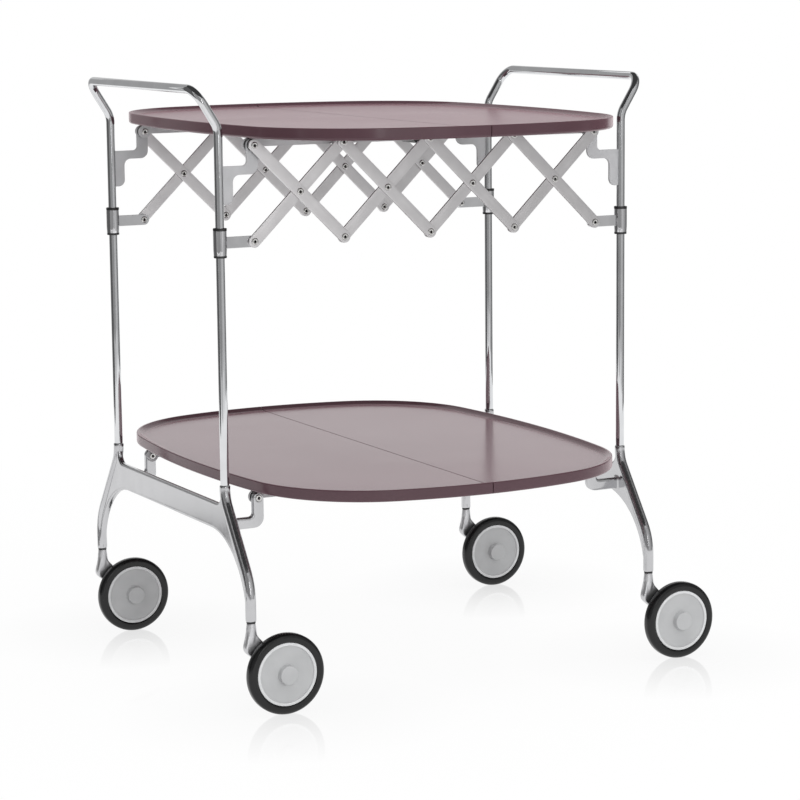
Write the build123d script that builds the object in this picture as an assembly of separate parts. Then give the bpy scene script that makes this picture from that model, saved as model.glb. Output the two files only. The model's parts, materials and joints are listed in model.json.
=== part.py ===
from build123d import *
import math
import os

# Folding serving trolley. X runs across the seam, Y along it, Z up from the floor. All sizes in millimetres.
# "near" and "far" below are distances from the middle plane y = 0.

# Posts and handles
tray_to_post = 22.0
post_y = 162.5
tube_diameter = 10.0
tube_wall = 1.5
handle_lean = 27.0
handle_rise = 43.0
bend_radius = 28.0
handle_corner_radius = 20.0

# Scissors and the pivots of the upper tray
pivot_inset = 40.4
upper_pivot_z = 632.0
lower_pivot_z = 233.0
bend_above_pivot = 20.0
scissor_drop = 107.4
cell_count = 4
bar_width = 14.0
bar_thickness = 3.0
bar_edge_round = 0.4

# Rivets and pins are hollow eyelets
shank_diameter = 5.0
eyelet_bore = 2.6
head_diameter = 8.0
head_height = 1.1
head_round = 0.7

# Clearances
running_clearance = 0.06
plate_gap = 0.4
face_gap = 0.2

# Upper brackets on the posts
bracket_thickness = 3.0
bracket_arm_width = 14.0
bracket_arm_top = 22.5
bracket_arm_height = 10.0
bracket_pad_width = 11.5
bracket_pad_height = 43.0
bracket_outer_round = 9.5
bracket_inner_round = 5.0
bracket_pad_round = 8.0

# Cast leg frames
socket_z = 251.5
socket_depth = 6.0
spigot_length = 25.0
leg_diameter = 12.4
leg_bend_drop = 15.5
leg_bend_rise = 40.5
leg_top_radius = 32.0
leg_low_radius = 60.0
foot_y = 228.0
web_thickness = 7.0
crossbar_drop = 23.5
crossbar_height = 31.0
arch_radius = 96.0
arch_end_rise = 8.0
arch_overlap = 1.0
socket_fillet = 12.0
web_edge_round = 1.2

# Arms of the leg frames that carry the lower tray
arm_drop = 28.0
arm_height = 13.0
arm_thickness = 8.0
arm_past_post = 2.5
upstand_width = 13.5
arm_outer_round = 12.0
arm_inner_round = 4.0
arm_edge_round = 1.0

# Trays
tray_half_x = 239.0
tray_half_y = 315.0
tray_end_radius = 1320.0
tray_front_radius = 485.0
tray_corner_radius = 151.0
rim_above_pivot = 21.5
edge_height = 13.5
lip_depth = 4.3
lip_land = 3.0
lip_run = 13.0
floor_thickness = 4.0
skirt_wall = 3.0
edge_top_round = 1.2
edge_low_round = 3.0
seam_gap = 1.2

# Rails under the trays
rail_thickness = 3.0
rail_below_pivot = 2.5
rail_seam_gap = 14.0
rail_end_radius = 7.5
lower_washer = 1.6

# Hinges under the seam
hinge_y = 125.0
hinge_length = 36.0
knuckle_radius = 7.4
hinge_pin_diameter = 5.0
leaf_thickness = 4.0
leaf_length = 30.0
leaf_seam_gap = 0.5

# Sliding collars
collar_length = 28.0
collar_diameter = 15.6
collar_low_diameter = 13.2
collar_taper_length = 10.0
collar_arm_height = 13.0
bush_wall = 1.0
bush_flange_height = 2.0
bush_depth = 9.0

# Spacer rings
spacer_diameter = 13.4

# Castors
castor_height = 105.6
swivel_ring_height = 1.4
swivel_ring_diameter = 10.4
stem_diameter = 10.0
swivel_pin_diameter = 6.0
swivel_pin_up = 24.0
swivel_pin_down = 18.0
trail = 35.0
castor_arm_thickness = 7.0
castor_shoulder_radius = 9.0
castor_shoulder_drop = 28.0
castor_neck_width = 7.0
castor_neck_drop = 4.0
castor_fork_drop = 12.0
castor_fork_radius = 18.0
fork_fillet_share = 0.95  # most of the neck's straight run that the fork's fillet may take
castor_blend = 0.4
axle_boss_radius = 9.0
axle_diameter = 8.0
axle_head_diameter = 12.0
axle_head_height = 2.0
castor_edge_round = 1.2

# Wheels
wheel_diameter = 93.0
tyre_width = 14.0
tyre_round = 5.0
disc_diameter = 72.4
disc_thickness = 10.0
disc_rim_width = 3.3
disc_rim_height = 1.4
hub_diameter = 22.0
hub_height = 8.0
hub_round = 1.2
back_hub_diameter = 18.0
wheel_gap = 2.5
axle_depth = 14.0

# Places that follow from the sizes above
post_x = tray_half_x + tray_to_post
pivot_x = post_x - pivot_inset
cell_pitch = 2 * pivot_x / cell_count
low_pivot_row_z = upper_pivot_z - scissor_drop
cross_row_z = upper_pivot_z - scissor_drop / 2
tube_radius = tube_diameter / 2
bend_z = upper_pivot_z + bend_above_pivot
handle_z = bend_z + handle_rise
handle_x = post_x + handle_lean
foot_z = castor_height + swivel_ring_height
wheel_radius = wheel_diameter / 2
shank_radius = shank_diameter / 2
pivot_hole_radius = shank_radius + running_clearance
bush_bore_radius = tube_radius + running_clearance
bush_outer_radius = bush_bore_radius + bush_wall
floor_under_rim = rim_above_pivot - lip_depth - floor_thickness

# Plates beside each other at the pivots, from the middle plane outwards
bracket_near = post_y - bracket_thickness / 2
bracket_far = bracket_near + bracket_thickness
inner_near = bracket_far + plate_gap
inner_far = inner_near + bar_thickness
outer_near = inner_far + plate_gap
outer_far = outer_near + bar_thickness
arm_far = post_y + arm_past_post
arm_near = arm_far - arm_thickness
washer_near = arm_near - lower_washer
rail_far = washer_near - face_gap
rail_near = rail_far - rail_thickness

# The box of the whole trolley is centred on the origin, so everything moves by this much in X
wheel_reach = post_x + trail + wheel_radius
handle_reach = handle_x + tube_radius
origin_shift = (wheel_reach - handle_reach) / 2

sides = {"left": -1, "right": 1}
rows = {"front": -1, "rear": 1}


def plate_xz(face, near, far, row):
    """Extrude a face drawn in X and Z between two distances from the middle plane, on one row."""
    thickness = far - near
    top_y = max(row * near, row * far)
    return Pos(0, top_y, 0) * extrude(Plane.XZ * face, thickness)


def rod_y(x, z, radius, near, far, row):
    """Round bar along Y between two distances from the middle plane, on one row."""
    middle = row * (near + far) / 2
    return Pos(x, middle, z) * Rot(90, 0, 0) * Cylinder(radius, far - near)


def ring_y(x, z, radius, bore, near, far, row):
    return rod_y(x, z, radius, near, far, row) - rod_y(x, z, bore, near, far, row)


def eyelet(x, z, near, far, row, near_head=True, far_head=True):
    """Hollow rivet with a rounded head past each end of its grip."""
    body = rod_y(x, z, shank_radius, near, far, row)
    ends = []
    if near_head:
        ends.append((near - head_height, near, near - head_height))
    if far_head:
        ends.append((far, far + head_height, far + head_height))
    for low, high, crown in ends:
        head = rod_y(x, z, head_diameter / 2, low, high, row)
        crown_edge = head.edges().filter_by(GeomType.CIRCLE).sort_by_distance((x, row * crown, z))[0]
        body += fillet(crown_edge, head_round)
    bore_near = near - head_height
    bore_far = far + head_height
    return body - rod_y(x, z, eyelet_bore / 2, bore_near, bore_far, row)


def rounded_face(corners):
    """Flat face from (u, w, corner radius) points in order."""
    face = make_face(Polyline([(u, w) for u, w, radius in corners], close=True))
    for u, w, radius in corners:
        if radius:
            corner = face.vertices().sort_by_distance((u, w, 0))[0]
            face = fillet(corner, radius)
    return face


def soften(solid, radius):
    """Round the outline edges of a plate that lies in X and Z."""
    flat_faces = solid.faces().filter_by(Axis.Y).sort_by(SortBy.AREA)[-2:]
    return fillet([edge for face in flat_faces for edge in face.outer_wire().edges()], radius)


def handle_tube(side):
    """Two posts and the handle bar, bent from one tube."""
    low_z = socket_z - socket_depth
    path = FilletPolyline(
        (side * post_x, -post_y, low_z),
        (side * post_x, -post_y, bend_z),
        (side * handle_x, -post_y, handle_z),
        (side * handle_x, post_y, handle_z),
        (side * post_x, post_y, bend_z),
        (side * post_x, post_y, low_z),
        radius=[bend_radius, handle_corner_radius, handle_corner_radius, bend_radius],
    )
    section = Circle(tube_radius) - Circle(tube_radius - tube_wall)
    return sweep(Plane(origin=path @ 0, z_dir=path % 0) * section, path=path)


def leg_web():
    """Half of the flat web in Y and Z: crossbar, socket fillet and the arch down to the foot."""
    crossbar_top = socket_z - crossbar_drop
    crossbar_low = crossbar_top - crossbar_height
    socket_side = post_y - leg_diameter / 2
    fillet_centre = (socket_side - socket_fillet, crossbar_top + socket_fillet)
    fillet_middle = (
        fillet_centre[0] + socket_fillet * math.sin(math.radians(45)),
        fillet_centre[1] - socket_fillet * math.cos(math.radians(45)),
    )
    bend_low = foot_z + leg_bend_rise
    arch_side = foot_y - leg_diameter / 2 + arch_overlap
    arch_centre = (arch_side - arch_radius, crossbar_low - arch_radius)
    arch_end_z = foot_z + arch_end_rise
    end_angle = math.asin((arch_end_z - arch_centre[1]) / arch_radius)
    middle_angle = (end_angle + math.pi / 2) / 2

    def on_arch(angle):
        return (
            arch_centre[0] + arch_radius * math.cos(angle),
            arch_centre[1] + arch_radius * math.sin(angle),
        )

    outline = [
        Line((0, crossbar_top), (fillet_centre[0], crossbar_top)),
        ThreePointArc((fillet_centre[0], crossbar_top), fillet_middle, (socket_side, fillet_centre[1])),
        Line((socket_side, fillet_centre[1]), (post_y, fillet_centre[1])),
        Line((post_y, fillet_centre[1]), (post_y, socket_z - leg_bend_drop)),
        Line((post_y, socket_z - leg_bend_drop), (foot_y, bend_low)),
        Line((foot_y, bend_low), (foot_y, arch_end_z)),
        Line((foot_y, arch_end_z), on_arch(end_angle)),
        ThreePointArc(on_arch(end_angle), on_arch(middle_angle), (arch_centre[0], crossbar_low)),
        Line((arch_centre[0], crossbar_low), (0, crossbar_low)),
        Line((0, crossbar_low), (0, crossbar_top)),
    ]
    return make_face(outline)


def tray_arm(side, row):
    """Cast arm that runs in from a leg and rises to a lower tray pivot."""
    middle_z = lower_pivot_z - arm_drop
    low_z = middle_z - arm_height / 2
    high_z = middle_z + arm_height / 2
    pivot = side * pivot_x
    inner = pivot - side * upstand_width / 2
    outer = pivot + side * upstand_width / 2
    face = rounded_face([
        (side * post_x, low_z, 0),
        (inner, low_z, arm_outer_round),
        (inner, lower_pivot_z, 0),
        (outer, lower_pivot_z, 0),
        (outer, high_z, arm_inner_round),
        (side * post_x, high_z, 0),
    ])
    face += Pos(pivot, lower_pivot_z) * Circle(upstand_width / 2)
    arm = soften(plate_xz(face, arm_near, arm_far, row), arm_edge_round)
    return arm - rod_y(pivot, lower_pivot_z, pivot_hole_radius, arm_near, arm_far, row)


def leg_frame(side):
    """One casting: crossbar web, two leg bars, two sockets and two arms for the lower tray."""
    half = leg_web()
    web = extrude(Plane.YZ * (half + mirror(half, Plane.YZ)), web_thickness / 2, both=True)
    web = fillet(web.faces().filter_by(Axis.X).edges(), web_edge_round)
    frame = Pos(side * post_x, 0, 0) * web
    for row in rows.values():
        path = FilletPolyline(
            (side * post_x, row * post_y, socket_z),
            (side * post_x, row * post_y, socket_z - leg_bend_drop),
            (side * post_x, row * foot_y, foot_z + leg_bend_rise),
            (side * post_x, row * foot_y, foot_z),
            radius=[leg_top_radius, leg_low_radius],
        )
        frame += sweep(Plane(origin=path @ 0, z_dir=path % 0) * Circle(leg_diameter / 2), path=path)
        frame += tray_arm(side, row)
    for row in rows.values():
        seat_z = socket_z - socket_depth
        seat = Pos(side * post_x, row * post_y, seat_z)
        frame -= seat * Cylinder(tube_radius, 2 * socket_depth, align=(Align.CENTER, Align.CENTER, Align.MIN))
        spigot_radius = tube_radius - tube_wall
        frame += seat * Cylinder(
            spigot_radius, socket_depth + spigot_length, align=(Align.CENTER, Align.CENTER, Align.MIN)
        )
        bore = Cylinder(
            swivel_pin_diameter / 2 + running_clearance,
            swivel_pin_up,
            align=(Align.CENTER, Align.CENTER, Align.MIN),
        )
        frame -= Pos(side * post_x, row * foot_y, foot_z) * bore
        frame -= rod_y(side * pivot_x, lower_pivot_z, pivot_hole_radius, arm_near, arm_far, row)
    return frame


def upper_bracket(side, row):
    """S-shaped plate from a post in to an upper tray pivot, with a notch that the tray edge swings into."""
    pivot = side * pivot_x
    arm_top = upper_pivot_z - bracket_arm_top
    arm_low = arm_top - bracket_arm_height
    pad_low = arm_top - bracket_pad_height
    pad_side = side * (post_x - tube_radius - bracket_pad_width)
    inner = pivot - side * bracket_arm_width / 2
    outer = pivot + side * bracket_arm_width / 2
    face = rounded_face([
        (side * post_x, pad_low, 0),
        (pad_side, pad_low, bracket_pad_round),
        (pad_side, arm_low, bracket_pad_round),
        (inner, arm_low, bracket_outer_round),
        (inner, upper_pivot_z, 0),
        (outer, upper_pivot_z, 0),
        (outer, arm_top, bracket_inner_round),
        (side * post_x, arm_top, 0),
    ])
    face += Pos(pivot, upper_pivot_z) * Circle(bracket_arm_width / 2)
    plate = soften(plate_xz(face, bracket_near, bracket_far, row), bar_edge_round)
    plate -= rod_y(pivot, upper_pivot_z, pivot_hole_radius, bracket_near, bracket_far, row)
    post = Cylinder(tube_radius, 2 * bracket_pad_height + 2 * bracket_arm_top)
    return plate - Pos(side * post_x, row * post_y, pad_low) * post


def bar_layer(kind, row):
    """Falling bars lie outside in the front row, rising bars outside in the rear row."""
    outside = (kind == "a") == (row < 0)
    return (outer_near, outer_far) if outside else (inner_near, inner_far)


def pivot_column(index):
    return -pivot_x + index * cell_pitch


def scissor_bar(kind, cell, row):
    """Flat bar with rounded ends and three pivot holes. Kind a falls towards +X, kind b rises."""
    left_x = pivot_column(cell - 1)
    right_x = pivot_column(cell)
    left_z, right_z = (upper_pivot_z, low_pivot_row_z) if kind == "a" else (low_pivot_row_z, upper_pivot_z)
    length = math.hypot(right_x - left_x, right_z - left_z)
    slope = math.degrees(math.atan2(right_z - left_z, right_x - left_x))
    face = SlotCenterToCenter(length, bar_width)
    for place in (-length / 2, 0, length / 2):
        face -= Pos(place, 0) * Circle(pivot_hole_radius)
    middle = Pos((left_x + right_x) / 2, cross_row_z) * Rot(0, 0, slope)
    near, far = bar_layer(kind, row)
    return soften(plate_xz(middle * face, near, far, row), bar_edge_round)


def scissor_rivet(x, z, row):
    """Rivet through both bar layers."""
    return eyelet(x, z, inner_near - face_gap, outer_far + face_gap, row)


def open_pivot_rivet(kind, z, row):
    """Half rivet at the middle of the scissors, where the linkage is open: it holds to one bar only."""
    near, far = bar_layer(kind, row)
    outside = near == outer_near
    return eyelet(0, z, near, far, row, near_head=not outside, far_head=outside)


def collar_rivet(kind, side, row):
    """Rivet that joins a bar end to a collar arm."""
    far = bar_layer(kind, row)[1]
    return eyelet(side * pivot_x, low_pivot_row_z, bracket_near - face_gap, far + face_gap, row)


def upper_tray_pin(kind, side, row):
    far = bar_layer(kind, row)[1]
    return eyelet(side * pivot_x, upper_pivot_z, rail_near - face_gap, far + face_gap, row)


def lower_tray_pin(side, row):
    return eyelet(side * pivot_x, lower_pivot_z, rail_near - face_gap, arm_far, row)


def pivot_spacers(kind, side, row):
    """Plastic washers between plates, and the ring under the leg that the castor turns against."""
    pivot = side * pivot_x
    radius = spacer_diameter / 2
    rings = [
        ring_y(pivot, upper_pivot_z, radius, pivot_hole_radius, washer_near, bracket_near, row),
        ring_y(pivot, lower_pivot_z, radius, pivot_hole_radius, washer_near, arm_near, row),
    ]
    if bar_layer(kind, row)[0] == outer_near:
        gap_far = outer_near - face_gap
        rings.append(ring_y(pivot, upper_pivot_z, radius, pivot_hole_radius, bracket_far, gap_far, row))
    swivel_bore = swivel_pin_diameter / 2 + running_clearance
    swivel = Circle(swivel_ring_diameter / 2) - Circle(swivel_bore)
    swivel_height = swivel_ring_height - face_gap
    rings.append(
        Pos(side * post_x, row * foot_y, castor_height + face_gap) * extrude(swivel, swivel_height)
    )
    return rings


def tray_outline(inset):
    """Outline of eight tangent arcs: two ends, two long sides and four corners, all moved in by inset."""
    half_x = tray_half_x - inset
    half_y = tray_half_y - inset
    end_radius = tray_end_radius - inset
    front_radius = tray_front_radius - inset
    corner_radius = tray_corner_radius - inset
    end_centre = Vector(half_x - end_radius, 0)
    front_centre = Vector(0, half_y - front_radius)
    end_reach = end_radius - corner_radius
    front_reach = front_radius - corner_radius
    between = front_centre - end_centre
    along = (end_reach ** 2 - front_reach ** 2 + between.length ** 2) / (2 * between.length)
    across = math.sqrt(end_reach ** 2 - along ** 2)
    step = between.normalized()
    corner = end_centre + step * along + Vector(-step.Y, step.X) * across
    end_way = (corner - end_centre).normalized()
    front_way = (corner - front_centre).normalized()
    end_point = end_centre + end_way * end_radius
    front_point = front_centre + front_way * front_radius
    corner_point = corner + (end_way + front_way).normalized() * corner_radius
    arcs = []
    for flip in (1, -1):
        right_low = (flip * end_point.X, -flip * end_point.Y)
        right_high = (flip * end_point.X, flip * end_point.Y)
        top_right = (flip * front_point.X, flip * front_point.Y)
        top_left = (-flip * front_point.X, flip * front_point.Y)
        left_high = (-flip * end_point.X, flip * end_point.Y)
        arcs.append(ThreePointArc(right_low, (flip * half_x, 0), right_high))
        arcs.append(ThreePointArc(right_high, (flip * corner_point.X, flip * corner_point.Y), top_right))
        arcs.append(ThreePointArc(top_right, (0, flip * half_y), top_left))
        arcs.append(ThreePointArc(top_left, (-flip * corner_point.X, flip * corner_point.Y), left_high))
    return make_face(arcs)


def whole_tray(pivot_z):
    """Moulded tray: lip with a sloping inner wall, flat floor and a shallow recess underneath."""
    rim_z = pivot_z + rim_above_pivot
    low_z = rim_z - edge_height
    floor_z = rim_z - lip_depth
    under_z = floor_z - floor_thickness
    body = Pos(0, 0, low_z) * extrude(tray_outline(0), edge_height)
    body = fillet(body.faces().sort_by(Axis.Z)[0].edges(), edge_low_round)
    body = fillet(body.faces().sort_by(Axis.Z)[-1].edges(), edge_top_round)
    mouth = Pos(0, 0, rim_z) * tray_outline(lip_land)
    seat = Pos(0, 0, floor_z) * tray_outline(lip_land + lip_run)
    body -= loft([seat, mouth], ruled=True)
    body -= Pos(0, 0, low_z) * extrude(tray_outline(skirt_wall + edge_low_round), under_z - low_z)
    return body


def tray_half(tray, side):
    """The part of a tray on one side of the seam."""
    keep = Box(
        2 * tray_half_x,
        4 * tray_half_y,
        4 * lower_pivot_z + 4 * upper_pivot_z,
        align=(Align.MIN, Align.CENTER, Align.CENTER),
    )
    if side < 0:
        keep = mirror(keep, Plane.YZ)
    return tray & (Pos(side * seam_gap / 2, 0, 0) * keep)


def tray_rail(side, row, pivot_z):
    """Flat rail under a tray half, with a round lug at the outer pivot."""
    low_z = pivot_z - rail_below_pivot
    high_z = pivot_z + floor_under_rim
    middle_x = side * (rail_seam_gap + pivot_x) / 2
    face = Pos(middle_x, (low_z + high_z) / 2) * Rectangle(pivot_x - rail_seam_gap, high_z - low_z)
    face += Pos(side * pivot_x, pivot_z) * Circle(rail_end_radius)
    face -= Pos(side * pivot_x, pivot_z) * Circle(pivot_hole_radius)
    return plate_xz(face, rail_near, rail_far, row)


def hinge_leaf(side, row, pivot_z):
    """Hinge leaf under the floor: the left one has two outer knuckles, the right one the middle knuckle."""
    third = hinge_length / 3
    near = hinge_y - hinge_length / 2
    far = hinge_y + hinge_length / 2
    gap = face_gap / 2
    if side < 0:
        spans = [(near, near + third - gap), (far - third + gap, far)]
    else:
        spans = [(near + third + gap, far - third - gap)]
    top_z = pivot_z + floor_under_rim
    low_z = top_z - leaf_thickness
    start = leaf_seam_gap
    plate_face = Pos(side * (start + leaf_length / 2), (top_z + low_z) / 2)
    leaf = plate_xz(plate_face * Rectangle(leaf_length, leaf_thickness), near, far, row)
    for low, high in spans:
        web = Pos(side * (start + knuckle_radius) / 2, (low_z + pivot_z) / 2)
        web_face = web * Rectangle(knuckle_radius - start, low_z - pivot_z)
        leaf += plate_xz(web_face, low, high, row)
        leaf += rod_y(0, pivot_z, knuckle_radius, low, high, row)
    return leaf - rod_y(0, pivot_z, hinge_pin_diameter / 2 + running_clearance, near, far, row)


def hinge_pin(row, pivot_z):
    near = hinge_y - hinge_length / 2
    return rod_y(0, pivot_z, hinge_pin_diameter / 2, near, near + hinge_length, row)


def collar_body(side, row):
    """Sleeve that tapers at its foot, cast with the flat arm to the lowest scissor pivot."""
    low_z = low_pivot_row_z - collar_length / 2
    outline = Polyline(
        (0, low_z),
        (collar_low_diameter / 2, low_z),
        (collar_diameter / 2, low_z + collar_taper_length),
        (collar_diameter / 2, low_z + collar_length),
        (0, low_z + collar_length),
        close=True,
    )
    sleeve = Pos(side * post_x, row * post_y, 0) * revolve(Plane.XZ * make_face(outline), Axis.Z)
    pivot = side * pivot_x
    middle_x = (side * post_x + pivot) / 2
    face = Pos(middle_x, low_pivot_row_z) * Rectangle(pivot_inset, collar_arm_height)
    face += Pos(pivot, low_pivot_row_z) * Circle(collar_arm_height / 2)
    arm = soften(plate_xz(face, bracket_near, bracket_far, row), bar_edge_round)
    body = sleeve + arm
    body -= Pos(side * post_x, row * post_y, low_pivot_row_z) * Cylinder(bush_outer_radius, collar_length)
    return body - rod_y(pivot, low_pivot_row_z, pivot_hole_radius, bracket_near, bracket_far, row)


def collar_bushes(kind, side, row):
    """Flanged bushes at both ends of a collar, and the washer where its bar lies in the outer layer."""
    bushes = []
    for end, flange_diameter in ((-1, collar_low_diameter), (1, collar_diameter)):
        end_z = low_pivot_row_z + end * collar_length / 2
        flange = extrude(Circle(flange_diameter / 2) - Circle(bush_bore_radius), end * bush_flange_height)
        sleeve = extrude(Circle(bush_outer_radius) - Circle(bush_bore_radius), -end * bush_depth)
        bushes.append(Pos(side * post_x, row * post_y, end_z) * (flange + sleeve))
    if bar_layer(kind, row)[0] == outer_near:
        pivot = side * pivot_x
        radius = spacer_diameter / 2
        gap_far = outer_near - face_gap
        washer = ring_y(pivot, low_pivot_row_z, radius, pivot_hole_radius, bracket_far, gap_far, row)
        bushes.append(washer)
    return bushes


def wheel_middle(row_y):
    """Distance in Y of the wheel's middle plane: the wheel runs on the -Y side of its castor arm."""
    return row_y - castor_arm_thickness / 2 - wheel_gap - tyre_width / 2


def tangent_point(point, centre, radius, turn):
    """Where a line from a point touches a circle, passing it on the left (turn 1) or right (turn -1)."""
    way = centre - point
    lean = math.degrees(math.asin(radius / way.length))
    reach = math.sqrt(way.length ** 2 - radius ** 2)
    return point + way.normalized().rotate(Axis.Z, turn * lean) * reach


def castor_arm_face():
    """Outline of a castor arm in X and Z from its swivel axis: neck, fork, axle boss and shoulder."""
    shoulder = Vector(0, castor_height - castor_shoulder_drop)
    axle = Vector(trail, wheel_radius)
    neck_left = Vector(-castor_neck_width / 2, castor_height - castor_neck_drop)
    neck_right = neck_left + Vector(castor_neck_width, 0)
    fork = Vector(neck_right.X, castor_height - castor_fork_drop)
    along = (axle - shoulder).normalized()
    below = Vector(along.Y, -along.X)
    boss_top = tangent_point(fork, axle, axle_boss_radius, 1)
    boss_low = axle + below * axle_boss_radius
    shoulder_low = shoulder + below * castor_shoulder_radius
    shoulder_left = tangent_point(neck_left, shoulder, castor_shoulder_radius, -1)
    shoulder_way = ((shoulder_left - shoulder).normalized() + below).normalized()
    face = make_face([
        Line(neck_left, neck_right),
        Line(neck_right, fork),
        Line(fork, boss_top),
        ThreePointArc(boss_top, axle + along * axle_boss_radius, boss_low),
        Line(boss_low, shoulder_low),
        ThreePointArc(shoulder_low, shoulder + shoulder_way * castor_shoulder_radius, shoulder_left),
        Line(shoulder_left, neck_left),
    ])
    neck_run = castor_fork_drop - castor_neck_drop
    fork_turn = math.radians(Vector(0, -1).get_angle(boss_top - fork))
    widest = fork_fillet_share * neck_run / math.tan(fork_turn / 2)
    return fillet(face.vertices().sort_by_distance(fork)[0], min(castor_fork_radius, widest))


def castor_arm(x, y):
    """Round stem that spreads into a flat arm down to the axle, beside the wheel."""
    half = castor_arm_thickness / 2
    arm = soften(extrude(Plane.XZ * castor_arm_face(), half, both=True), castor_edge_round)
    stem_foot = Ellipse(castor_shoulder_radius - castor_blend, half - castor_blend)
    stem = loft([
        Pos(0, 0, castor_height) * Circle(stem_diameter / 2),
        Pos(0, 0, castor_height - castor_shoulder_drop) * stem_foot,
    ])
    body = arm + stem
    body -= Pos(0, 0, castor_height) * Cylinder(swivel_pin_diameter / 2, 2 * swivel_pin_down)
    body -= Pos(trail, 0, wheel_radius) * Rot(90, 0, 0) * Cylinder(axle_diameter / 2, 4 * half)
    return Pos(x, y, 0) * body


def castor_pins(x, y):
    """Swivel pin up into the leg, and the axle with its head behind the arm."""
    swivel_low = castor_height - swivel_pin_down
    swivel_high = foot_z + swivel_pin_up - face_gap
    swivel = Pos(x, y, swivel_low) * Cylinder(
        swivel_pin_diameter / 2,
        swivel_high - swivel_low,
        align=(Align.CENTER, Align.CENTER, Align.MIN),
    )
    back = y + castor_arm_thickness / 2
    front = y - castor_arm_thickness / 2 - axle_depth
    axle = Pos(x + trail, (back + front) / 2, wheel_radius) * Rot(90, 0, 0) * Cylinder(
        axle_diameter / 2, back - front
    )
    head = Pos(x + trail, back + axle_head_height / 2, wheel_radius) * Rot(90, 0, 0) * Cylinder(
        axle_head_diameter / 2, axle_head_height
    )
    return [swivel, axle + head]


def wheel_place(x, y):
    """Place of a wheel whose own axis is Z and whose front face looks along +Z."""
    return Pos(x + trail, wheel_middle(y), wheel_radius) * Rot(90, 0, 0)


def tyre(x, y):
    ring = Cylinder(wheel_radius, tyre_width) - Cylinder(disc_diameter / 2, tyre_width)
    tread = ring.edges().filter_by(GeomType.CIRCLE).sort_by(SortBy.RADIUS)[-2:]
    return wheel_place(x, y) * fillet(tread, tyre_round)


def wheel_disc(x, y):
    """Solid disc with a raised rim and hub boss on the front and a hub that runs on the axle behind."""
    front = disc_thickness / 2
    radius = disc_diameter / 2
    disc = Cylinder(radius, disc_thickness)
    rim = Circle(radius) - Circle(radius - disc_rim_width)
    disc += Pos(0, 0, front) * extrude(rim, disc_rim_height)
    boss = extrude(Circle(hub_diameter / 2), hub_height)
    boss = fillet(boss.faces().sort_by(Axis.Z)[-1].edges(), hub_round)
    disc += Pos(0, 0, front) * boss
    back_reach = tyre_width / 2 + wheel_gap - face_gap
    disc += Pos(0, 0, -back_reach) * extrude(Circle(back_hub_diameter / 2), back_reach - front)
    bore_depth = axle_depth - wheel_gap - tyre_width / 2 + back_reach + face_gap
    bore = extrude(Circle(axle_diameter / 2 + running_clearance), bore_depth)
    disc -= Pos(0, 0, -back_reach) * bore
    return wheel_place(x, y) * disc


nodes = {}
for side_name, side in sides.items():
    hung_bar = "a" if side < 0 else "b"
    low_bar = "b" if side < 0 else "a"
    nodes[side_name + "_handle_tube"] = [handle_tube(side)]
    nodes[side_name + "_leg_frame"] = [leg_frame(side)]
    nodes[side_name + "_upper_brackets"] = [upper_bracket(side, row) for row in rows.values()]
    nodes[side_name + "_tray_pins"] = [upper_tray_pin(hung_bar, side, row) for row in rows.values()]
    nodes[side_name + "_tray_pins"] += [lower_tray_pin(side, row) for row in rows.values()]
    nodes[side_name + "_pivot_spacers"] = [
        ring for row in rows.values() for ring in pivot_spacers(hung_bar, side, row)
    ]
    nodes[side_name + "_collars"] = [collar_body(side, row) for row in rows.values()]
    nodes[side_name + "_collar_bushes"] = [
        bush for row in rows.values() for bush in collar_bushes(low_bar, side, row)
    ]
    for row_name, row in rows.items():
        corner_name = row_name + "_" + side_name
        corner = (side * post_x, row * foot_y)
        nodes[corner_name + "_castor_arm"] = [castor_arm(*corner)]
        nodes[corner_name + "_castor_pins"] = castor_pins(*corner)
        nodes[corner_name + "_tyre"] = [tyre(*corner)]
        nodes[corner_name + "_wheel_disc"] = [wheel_disc(*corner)]

for level_name, pivot_z in (("upper", upper_pivot_z), ("lower", lower_pivot_z)):
    tray = whole_tray(pivot_z)
    for side_name, side in sides.items():
        half_name = level_name + "_" + side_name
        nodes[half_name + "_tray"] = [tray_half(tray, side)]
        nodes[half_name + "_rails"] = [tray_rail(side, row, pivot_z) for row in rows.values()]
        nodes[half_name + "_hinge_leaves"] = [hinge_leaf(side, row, pivot_z) for row in rows.values()]
    nodes[level_name + "_hinge_pins"] = [hinge_pin(row, pivot_z) for row in rows.values()]

for kind in ("a", "b"):
    for cell in range(1, cell_count + 1):
        name = "scissor_bars_" + kind + str(cell)
        nodes[name] = [scissor_bar(kind, cell, row) for row in rows.values()]


def column_rivets(places):
    return [scissor_rivet(x, z, row) for x, z in places for row in rows.values()]


def cross_place(cell):
    return (pivot_column(cell - 0.5), cross_row_z)


def top_place(column):
    return (pivot_column(column), upper_pivot_z)


def low_place(column):
    return (pivot_column(column), low_pivot_row_z)


# Each rivet goes with one of the two bars that it joins
nodes["rivets_b1"] = column_rivets([cross_place(1), top_place(1)])
nodes["rivets_b1"] += [collar_rivet("b", -1, row) for row in rows.values()]
nodes["rivets_b2"] = column_rivets([cross_place(2), low_place(1)])
nodes["rivets_b2"] += [open_pivot_rivet("b", upper_pivot_z, row) for row in rows.values()]
nodes["rivets_a2"] = [open_pivot_rivet("a", low_pivot_row_z, row) for row in rows.values()]
nodes["rivets_a3"] = column_rivets([cross_place(3), low_place(3)])
nodes["rivets_a3"] += [open_pivot_rivet("a", upper_pivot_z, row) for row in rows.values()]
nodes["rivets_b3"] = [open_pivot_rivet("b", low_pivot_row_z, row) for row in rows.values()]
nodes["rivets_a4"] = column_rivets([cross_place(4), top_place(3)])
nodes["rivets_a4"] += [collar_rivet("a", 1, row) for row in rows.values()]

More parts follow.
